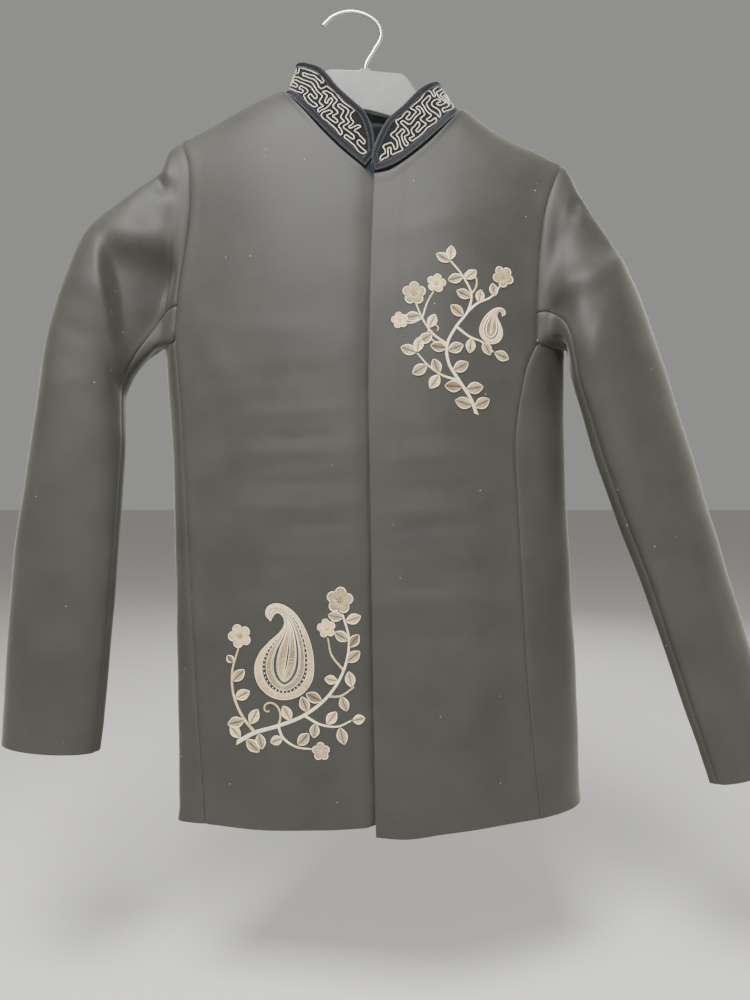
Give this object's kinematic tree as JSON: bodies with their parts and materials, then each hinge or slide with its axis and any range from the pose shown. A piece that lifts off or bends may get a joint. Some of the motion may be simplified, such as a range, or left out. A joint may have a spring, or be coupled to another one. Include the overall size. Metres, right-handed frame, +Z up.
{
  "type": "sherwani coat on a hanger",
  "caption": "Child's short black sherwani coat with a corded stand collar, satin binding and embroidered sprays, hung on a plain grey hanger.",
  "frame": {"origin": "under the top of the hanger's hook, where it bears on a rail or peg", "axes": "+Z up along the hanging coat, +X to the wearer's left, the coat's front faces -Y"},
  "size_m": [0.6329, 0.1001, 0.6554],
  "materials": {
    "suiting": "smooth pressed suiting, black with a soft sheen",
    "satin": "ribbed midnight satin",
    "lining": "navy satin lining",
    "collar_cord": "twisted ivory and silver cord",
    "embroidery_thread": "lustrous gold and cream thread",
    "hanger_plastic": "light grey moulded plastic",
    "hook_wire": "bright plated steel wire"
  },
  "bodies": {
    "root": {"front_left": "suiting", "front_right": "suiting", "side_left": "suiting", "side_right": "suiting", "back": "suiting", "sleeve_upper_left": "suiting", "sleeve_under_left": "suiting", "sleeve_upper_right": "suiting", "sleeve_under_right": "suiting", "collar": "suiting", "collar_binding": "satin", "hanger": "hanger_plastic", "hanger_hook": "hook_wire"}
  },
  "joints": []
}
